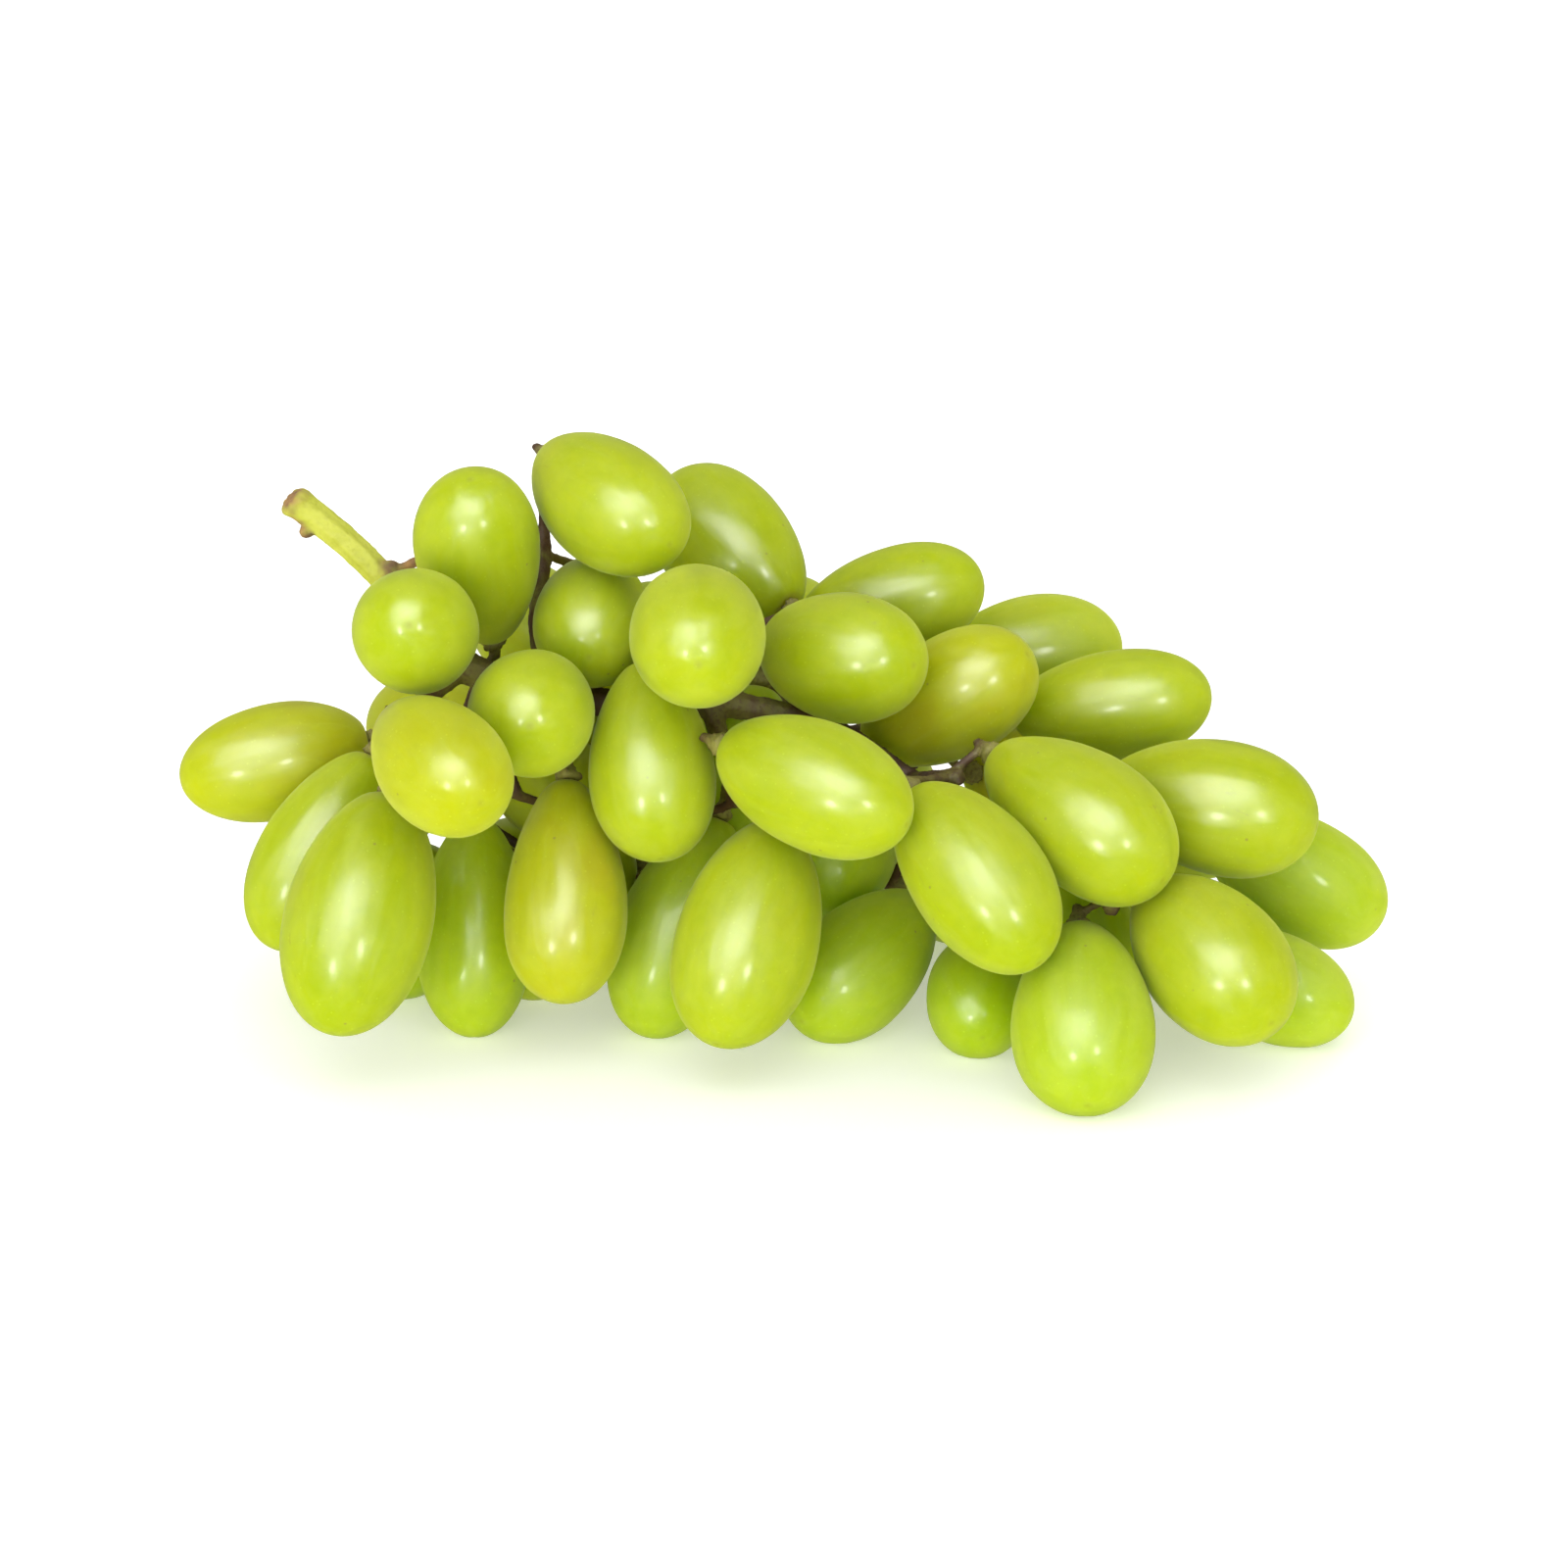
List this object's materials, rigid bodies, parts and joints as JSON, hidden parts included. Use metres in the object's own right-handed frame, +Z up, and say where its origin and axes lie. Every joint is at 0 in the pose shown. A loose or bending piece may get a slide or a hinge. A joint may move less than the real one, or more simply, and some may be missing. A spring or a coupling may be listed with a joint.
{
  "type": "bunch of grapes",
  "caption": "Bunch of long green table grapes lying on its side, its berries on short stalks from one branching stem with a cut end.",
  "frame": {"origin": "under the middle of the bunch's box, on the surface it lies on", "axes": "+X from the cut stem end to the tip of the bunch, +Y to its back, +Z up from the surface it lies on"},
  "size_m": [0.1538, 0.0964, 0.0725],
  "materials": {
    "grape_skin": "smooth, slightly waxy, translucent yellow-green fruit skin",
    "stem_bark": "matt yellow-green stem with brown scars and darker brown stalks"
  },
  "bodies": {
    "root": {"berry_01": "grape_skin", "berry_02": "grape_skin", "berry_03": "grape_skin", "berry_04": "grape_skin", "berry_05": "grape_skin", "berry_06": "grape_skin", "berry_07": "grape_skin", "berry_08": "grape_skin", "berry_09": "grape_skin", "berry_10": "grape_skin", "berry_11": "grape_skin", "berry_12": "grape_skin", "berry_13": "grape_skin", "berry_14": "grape_skin", "berry_15": "grape_skin", "berry_16": "grape_skin", "berry_17": "grape_skin", "berry_18": "grape_skin", "berry_19": "grape_skin", "berry_20": "grape_skin", "berry_21": "grape_skin", "berry_22": "grape_skin", "berry_23": "grape_skin", "berry_24": "grape_skin", "berry_25": "grape_skin", "berry_26": "grape_skin", "berry_27": "grape_skin", "berry_28": "grape_skin", "berry_29": "grape_skin", "berry_30": "grape_skin", "berry_31": "grape_skin", "berry_32": "grape_skin", "berry_33": "grape_skin", "berry_34": "grape_skin", "berry_35": "grape_skin", "berry_36": "grape_skin", "berry_37": "grape_skin", "berry_38": "grape_skin", "berry_39": "grape_skin", "berry_40": "grape_skin", "berry_41": "grape_skin", "berry_42": "grape_skin", "berry_43": "grape_skin", "berry_44": "grape_skin", "berry_45": "grape_skin", "berry_46": "grape_skin", "berry_47": "grape_skin", "berry_48": "grape_skin", "berry_49": "grape_skin", "berry_50": "grape_skin", "berry_51": "grape_skin", "berry_52": "grape_skin", "berry_53": "grape_skin", "berry_54": "grape_skin", "berry_55": "grape_skin", "berry_56": "grape_skin", "stem": "stem_bark"}
  },
  "joints": []
}
